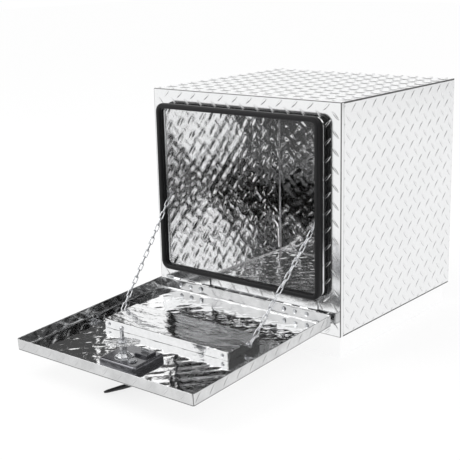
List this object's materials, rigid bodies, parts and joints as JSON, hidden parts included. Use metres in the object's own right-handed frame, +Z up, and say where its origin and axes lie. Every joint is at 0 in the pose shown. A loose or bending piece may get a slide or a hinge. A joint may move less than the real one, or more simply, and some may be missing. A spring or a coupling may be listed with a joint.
{
  "type": "underbody tool box",
  "caption": "Sheet metal underbody truck tool box with a drop-down door held by chains, a rubber door seal and a folding T-handle latch.",
  "frame": {"origin": "centre of the case's top face, where the box is bolted up under a truck bed", "axes": "+Z up, out of the top face; -Y out of the front, the side with the door; +X to the right seen from the front"},
  "size_m": [0.47, 0.8538, 0.5019],
  "materials": {
    "bright_aluminium": "bright tread plate outside, mirror-like inside",
    "frame_aluminium": "bright, polished",
    "weld_aluminium": "satin weld bead",
    "seal_rubber": "matte black",
    "bright_zinc": "bright zinc plating",
    "stainless_steel": "bright",
    "black_coated_steel": "semi-gloss black coating"
  },
  "bodies": {
    "case": {"top_panel": "bright_aluminium", "floor_panel": "bright_aluminium", "left_side_panel": "bright_aluminium", "right_side_panel": "bright_aluminium", "back_panel": "bright_aluminium", "back_weld_bead": "weld_aluminium", "left_floor_weld_bead": "weld_aluminium", "right_floor_weld_bead": "weld_aluminium", "left_top_weld_bead": "weld_aluminium", "right_top_weld_bead": "weld_aluminium", "front_frame": "frame_aluminium", "door_seal": "seal_rubber", "left_hinge_case_leaf": "frame_aluminium", "right_hinge_case_leaf": "frame_aluminium", "left_hinge_pin": "stainless_steel", "right_hinge_pin": "stainless_steel", "left_lip_eye": "bright_zinc", "right_lip_eye": "bright_zinc"},
    "door": {"door_pan": "bright_aluminium", "left_hinge_door_leaf": "frame_aluminium", "right_hinge_door_leaf": "frame_aluminium", "left_hinge_rivet_1": "stainless_steel", "left_hinge_rivet_2": "stainless_steel", "left_hinge_rivet_3": "stainless_steel", "right_hinge_rivet_1": "stainless_steel", "right_hinge_rivet_2": "stainless_steel", "right_hinge_rivet_3": "stainless_steel", "stiffener_tray": "bright_aluminium", "left_tray_screw": "stainless_steel", "right_tray_screw": "stainless_steel", "latch_dish": "black_coated_steel", "latch_boss": "bright_zinc", "lock_collar": "bright_zinc", "lock_bracket": "black_coated_steel", "lock_spring": "stainless_steel", "left_tray_eye": "bright_zinc", "right_tray_eye": "bright_zinc"},
    "latch": {"latch_spindle": "bright_zinc", "cam_plate": "bright_zinc", "cam_nut": "bright_zinc", "spindle_cap": "bright_zinc", "handle_pin": "stainless_steel"},
    "handle": {"t_handle": "black_coated_steel"},
    "lock": {"lock_plug": "bright_zinc"},
    "left_chain_upper_half": {"left_chain_upper": "bright_zinc"},
    "left_chain_lower_half": {"left_chain_lower": "bright_zinc"},
    "right_chain_upper_half": {"right_chain_upper": "bright_zinc"},
    "right_chain_lower_half": {"right_chain_lower": "bright_zinc"}
  },
  "joints": [
    {"name": "door_hinge", "type": "hinge", "parent": "case", "child": "door", "pos_m": [-0.0055, -0.2233, -0.412], "axis": [-1, 0, 0], "range_deg": [0, 93]},
    {"name": "latch_turn", "type": "hinge", "parent": "door", "child": "latch", "pos_m": [-0.0055, -0.56932, -0.43013], "axis": [0, -0.0523, 0.9986], "range_deg": [0, 50]},
    {"name": "handle_fold", "type": "hinge", "parent": "latch", "child": "handle", "pos_m": [-0.0055, -0.56742, -0.46658], "axis": [0.3746, 0.9259, 0.0485], "range_deg": [0, 90]},
    {"name": "key_turn", "type": "hinge", "parent": "door", "child": "lock", "pos_m": [0.0215, -0.57632, -0.4305], "axis": [0, -0.0523, 0.9986], "range_deg": [0, 90]},
    {"name": "left_chain_upper_swing", "type": "hinge", "parent": "case", "child": "left_chain_upper_half", "pos_m": [-0.1965, -0.22, -0.223], "axis": [0.989, 0.1474, -0.0107], "range_deg": [0, 35]},
    {"name": "left_chain_lower_swing", "type": "hinge", "parent": "door", "child": "left_chain_lower_half", "pos_m": [-0.171, -0.40598, -0.42858], "axis": [-0.9891, 0.0246, -0.145], "range_deg": [0, 48.9]},
    {"name": "right_chain_upper_swing", "type": "hinge", "parent": "case", "child": "right_chain_upper_half", "pos_m": [0.1855, -0.22, -0.223], "axis": [0.989, -0.1474, 0.0107], "range_deg": [0, 35]},
    {"name": "right_chain_lower_swing", "type": "hinge", "parent": "door", "child": "right_chain_lower_half", "pos_m": [0.16, -0.40598, -0.42858], "axis": [-0.9891, -0.0246, 0.145], "range_deg": [0, 48.9]}
  ],
  "couplings": [
    {"joint": "left_chain_upper_swing", "follows": "door_hinge", "ratio": 0.37532},
    {"joint": "left_chain_lower_swing", "follows": "door_hinge", "ratio": 0.52451},
    {"joint": "right_chain_upper_swing", "follows": "door_hinge", "ratio": 0.37532},
    {"joint": "right_chain_lower_swing", "follows": "door_hinge", "ratio": 0.52451}
  ]
}
